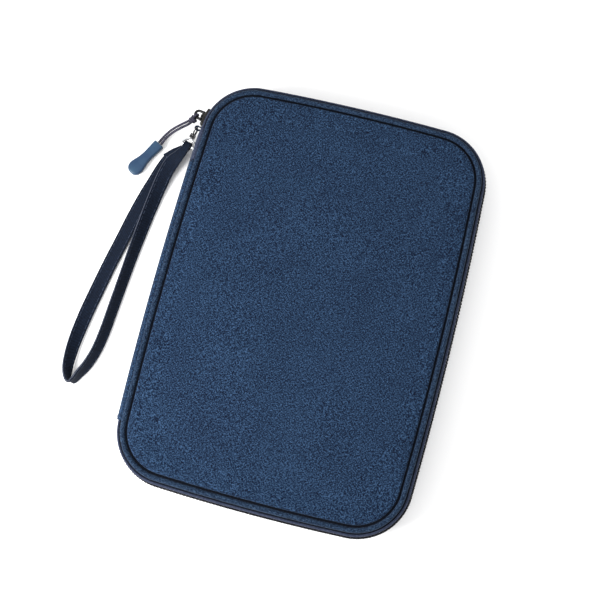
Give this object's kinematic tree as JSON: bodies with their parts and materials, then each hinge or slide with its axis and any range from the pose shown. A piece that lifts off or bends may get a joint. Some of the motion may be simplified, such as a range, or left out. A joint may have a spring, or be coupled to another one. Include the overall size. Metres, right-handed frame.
{
  "type": "travel document organizer",
  "caption": "Padded zip-round fabric travel case that opens like a book on a soft spine, with corded zip puller, clip-on wrist strap and inner pockets.",
  "frame": {"origin": "middle of the flat back face, which lies on the table; the case's width and length are centred on it", "axes": "+Z out of the back face through the front cover, +Y towards the top end, with the zip's slider at rest, +X away from the spine towards the opening edge"},
  "size_m": [0.2227, 0.25, 0.025],
  "materials": {
    "navy_fabric": "fine twill of mixed blue yarns, matte",
    "piping_fabric": "the same twill over a cord, matte",
    "gusset_fabric": "dark navy webbing tape, matte",
    "zip_tape": "woven polyester tape, matte",
    "zip_coil": "moulded nylon coil, satin",
    "foam": "closed-cell foam board",
    "lining": "smooth woven lining, slight sheen",
    "mesh": "elastic mesh",
    "binding": "folded edge binding",
    "slider_metal": "black lacquer, satin",
    "cord": "braided cord",
    "rubber_tab": "moulded soft rubber, matte",
    "gunmetal": "dark plated gunmetal",
    "silver_metal": "bright nickel plate",
    "strap_webbing": "dark navy webbing with stitched edges"
  },
  "bodies": {
    "back": {"back_cover_fabric": "navy_fabric", "back_foam_board": "foam", "back_lining": "lining", "back_piping": "piping_fabric", "back_gusset": "gusset_fabric", "back_zip_tape": "zip_tape", "back_zip_coil": "zip_coil", "zip_end_cover": "navy_fabric", "zip_end_stops": "gunmetal", "strap_anchor_tab": "navy_fabric", "document_pocket": "lining", "zip_pocket_panel": "lining", "pocket_zip_tape": "zip_tape", "pocket_zip_coil": "zip_coil", "mesh_pocket": "mesh", "mesh_pocket_binding": "binding", "pen_loop": "binding"},
    "spine": {"spine_fabric": "navy_fabric", "spine_board": "foam", "spine_lining": "lining"},
    "front": {"front_cover_fabric": "navy_fabric", "front_foam_board": "foam", "front_lining": "lining", "front_piping": "piping_fabric", "front_gusset": "gusset_fabric", "front_zip_tape": "zip_tape", "front_zip_coil": "zip_coil", "boarding_pass_pocket": "lining", "passport_pocket": "lining", "small_note_pocket": "lining", "card_slot_1": "lining", "card_slot_2": "lining", "card_slot_3": "lining", "card_slot_4": "lining"},
    "slider": {"zip_slider": "slider_metal"},
    "bail": {"puller_bail": "slider_metal"},
    "puller": {"puller_cord": "cord", "puller_cord_knot": "cord", "pull_tab": "rubber_tab"},
    "clasp": {"clasp_hook": "gunmetal", "clasp_gate_pin": "silver_metal"},
    "gate": {"clasp_gate": "silver_metal"},
    "swivel_ring": {"swivel_d_ring": "silver_metal"},
    "strap": {"wrist_strap": "strap_webbing", "strap_tongue": "strap_webbing"},
    "pocket_slider_body": {"pocket_slider": "slider_metal"},
    "pocket_puller_body": {"pocket_puller": "gunmetal"}
  },
  "joints": [
    {"name": "spine_fold", "type": "hinge", "parent": "back", "child": "spine", "pos_m": [-0.087, 0, 0.0015], "axis": [0, -1, 0], "range_deg": [0, 60]},
    {"name": "cover_fold", "type": "hinge", "parent": "spine", "child": "front", "pos_m": [-0.087, 0, 0.0235], "axis": [0, -1, 0], "range_deg": [0, 120]},
    {"name": "zip_travel", "type": "hinge", "parent": "back", "child": "slider", "pos_m": [-0.0547, 0.0903, 0.0125], "axis": [0, 0, 1], "range_deg": [-60, 0]},
    {"name": "bail_swing", "type": "hinge", "parent": "slider", "child": "bail", "pos_m": [-0.08992, 0.09908, 0.0125], "axis": [-0.2419, -0.9703, 0], "range_deg": [-50, 0]},
    {"name": "tab_swing", "type": "hinge", "parent": "bail", "child": "puller", "pos_m": [-0.09385, 0.09801, 0.0125], "axis": [0.7193, -0.6947, 0], "range_deg": [-30, 0]},
    {"name": "clasp_lift", "type": "hinge", "parent": "back", "child": "clasp", "pos_m": [-0.09263, 0.08988, 0.0074], "axis": [0.9703, -0.2419, 0], "range_deg": [-30, 0]},
    {"name": "gate_open", "type": "hinge", "parent": "clasp", "child": "gate", "pos_m": [-0.09328, 0.08726, 0.0084], "axis": [-0.9703, 0.2419, 0], "range_deg": [0, 12], "stiffness_Nm_per_rad": 0.001, "springref_deg": -5.73},
    {"name": "clasp_swivel", "type": "hinge", "parent": "clasp", "child": "swivel_ring", "pos_m": [-0.09374, 0.08541, 0.00705], "axis": [0.2419, 0.9703, 0], "range_deg": [-20, 0]},
    {"name": "strap_lift", "type": "hinge", "parent": "swivel_ring", "child": "strap", "pos_m": [-0.095, 0.08037, 0.00705], "axis": [0.9703, -0.2419, 0], "range_deg": [-55, 0]},
    {"name": "pocket_zip_travel", "type": "slide", "parent": "back", "child": "pocket_slider_body", "axis": [1, 0, 0], "range_m": [0, 0.118]},
    {"name": "pocket_puller_swing", "type": "hinge", "parent": "pocket_slider_body", "child": "pocket_puller_body", "pos_m": [-0.0603, 0.022, 0.01035], "axis": [0, 1, 0], "range_deg": [-20, 0]}
  ],
  "couplings": [
    {"joint": "cover_fold", "follows": "spine_fold", "ratio": 2}
  ]
}
